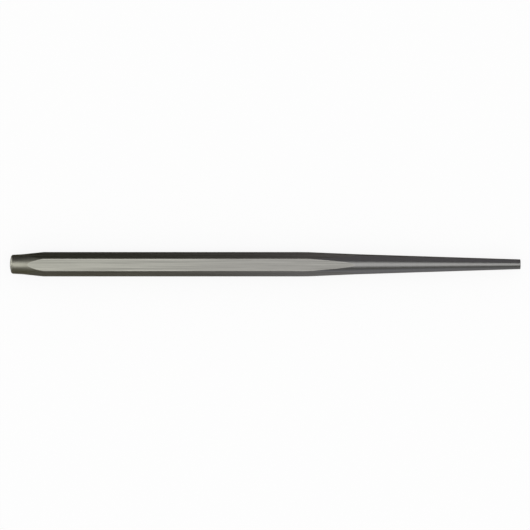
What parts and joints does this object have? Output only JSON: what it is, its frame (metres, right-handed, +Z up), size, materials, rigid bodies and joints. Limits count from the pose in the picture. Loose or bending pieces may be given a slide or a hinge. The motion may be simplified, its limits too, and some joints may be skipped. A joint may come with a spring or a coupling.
{
  "type": "drift punch",
  "caption": "Long-taper drift punch: a hexagonal steel bar with a crowned struck end and a long round taper to a flat tip, for lining up holes and driving pins.",
  "frame": {"origin": "middle of the length, on the surface that the tool rests on, under its axis", "axes": "+X along the tool's axis from the struck end to the tip, +Z up out of the flat that faces away from the surface, +Y across"},
  "size_m": [0.3048, 0.0146, 0.0127],
  "materials": {
    "tool_steel": "satin dark grey tool steel, smoothed lengthwise on the flats and ground round on both ends"
  },
  "bodies": {
    "root": {"drift_punch": "tool_steel"}
  },
  "joints": []
}
